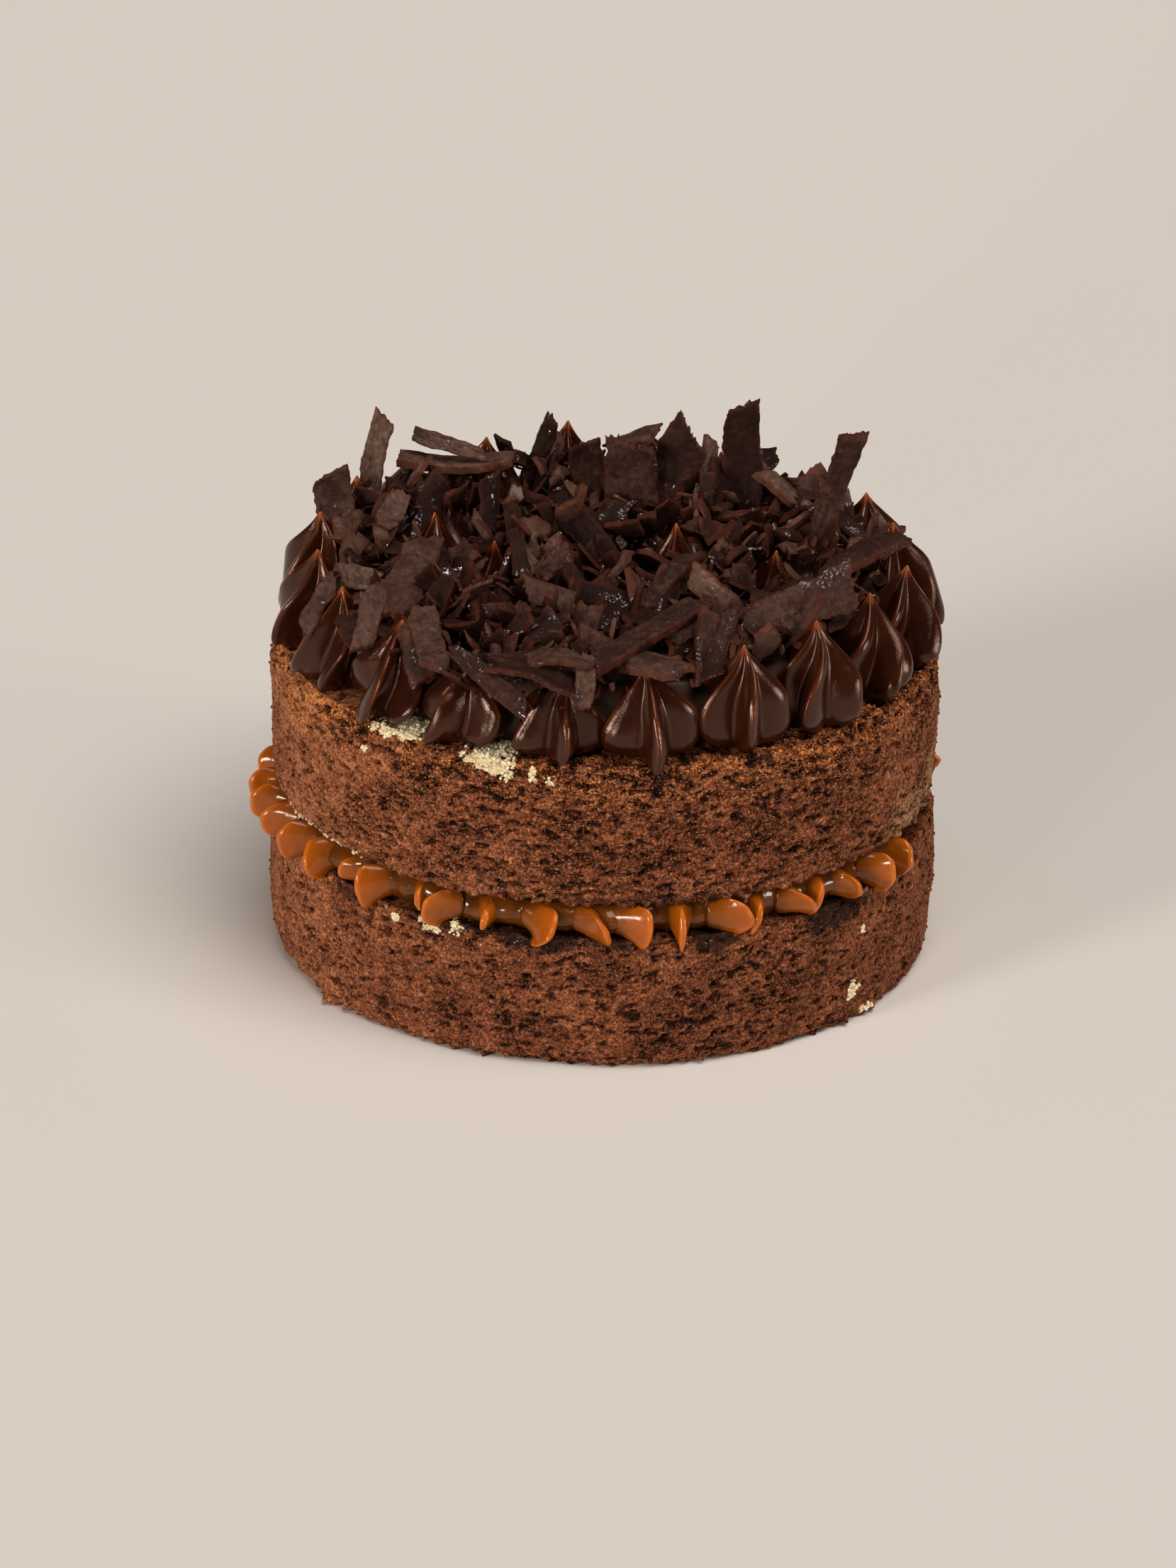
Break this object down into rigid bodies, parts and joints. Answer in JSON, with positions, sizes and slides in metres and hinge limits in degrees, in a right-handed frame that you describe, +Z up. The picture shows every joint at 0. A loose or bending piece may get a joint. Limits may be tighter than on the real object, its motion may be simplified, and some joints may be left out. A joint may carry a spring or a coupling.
{
  "type": "chocolate cake",
  "caption": "Round chocolate layer cake with a piped caramel filling, piped ganache stars and a heap of chocolate shavings on top.",
  "frame": {"origin": "middle of the cake's flat underside, where it rests", "axes": "+Z up, -Y toward the side that faces the camera in the picture, +X to that camera's right"},
  "size_m": [0.1547, 0.155, 0.1166],
  "materials": {
    "sponge": "porous dark chocolate sponge crumb, matt",
    "caramel": "thick piped caramel, glossy",
    "ganache": "piped dark chocolate ganache, glossy",
    "shavings": "dry broken dark chocolate, satin"
  },
  "bodies": {
    "root": {"lower_sponge": "sponge", "caramel_filling": "caramel", "upper_sponge": "sponge", "ganache_star_01": "ganache", "ganache_star_02": "ganache", "ganache_star_03": "ganache", "ganache_star_04": "ganache", "ganache_star_05": "ganache", "ganache_star_06": "ganache", "ganache_star_07": "ganache", "ganache_star_08": "ganache", "ganache_star_09": "ganache", "ganache_star_10": "ganache", "ganache_star_11": "ganache", "ganache_star_12": "ganache", "ganache_star_13": "ganache", "ganache_star_14": "ganache", "ganache_star_15": "ganache", "ganache_star_16": "ganache", "ganache_star_17": "ganache", "ganache_star_18": "ganache", "ganache_star_19": "ganache", "ganache_star_20": "ganache", "ganache_star_21": "ganache", "ganache_star_22": "ganache", "ganache_star_23": "ganache", "ganache_star_24": "ganache", "ganache_star_25": "ganache", "chocolate_shavings": "shavings"}
  },
  "joints": []
}
